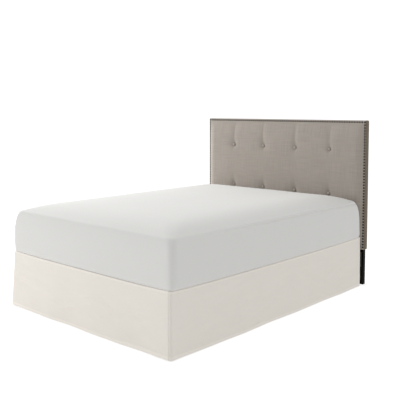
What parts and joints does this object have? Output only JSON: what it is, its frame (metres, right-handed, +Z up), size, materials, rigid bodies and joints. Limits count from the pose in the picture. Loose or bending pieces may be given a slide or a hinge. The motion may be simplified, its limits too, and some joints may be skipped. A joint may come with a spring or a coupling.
{
  "type": "bed skirt on a bed",
  "caption": "Tailored ivory bed skirt with straight drops to the floor on three sides of a box spring, under a sheeted mattress, with a tufted linen headboard.",
  "frame": {"origin": "on the floor under the middle of the whole bed, headboard included", "axes": "+X across the bed, +Y from foot to headboard, +Z up"},
  "size_m": [1.574, 2.15, 1.264],
  "materials": {
    "skirt_cloth": "smooth ivory cotton blend, matt",
    "deck_cloth": "thin off-white lining cloth, matt",
    "sheet_cloth": "light grey jersey sheet, matt",
    "ticking": "plain off-white ticking, matt",
    "linen": "taupe linen weave, matt",
    "nail_metal": "darkened antique finish",
    "black_paint": "satin black",
    "frame_steel": "dark grey paint"
  },
  "bodies": {
    "root": {"deck": "deck_cloth", "foot_drop": "skirt_cloth", "left_drop": "skirt_cloth", "right_drop": "skirt_cloth", "mattress": "sheet_cloth", "box_spring": "ticking", "headboard": "linen", "button_1": "linen", "button_2": "linen", "button_3": "linen", "button_4": "linen", "button_5": "linen", "button_6": "linen", "button_7": "linen", "button_8": "linen", "headboard_leg_left": "black_paint", "bracket_left": "frame_steel", "side_rail_left": "frame_steel", "headboard_leg_right": "black_paint", "bracket_right": "frame_steel", "side_rail_right": "frame_steel", "cross_bar_1": "frame_steel", "cross_bar_2": "frame_steel", "cross_bar_3": "frame_steel", "frame_leg_1": "frame_steel", "frame_leg_2": "frame_steel", "frame_leg_3": "frame_steel", "frame_leg_4": "frame_steel", "frame_leg_5": "frame_steel", "frame_leg_6": "frame_steel", "frame_leg_7": "frame_steel"}
  },
  "joints": []
}
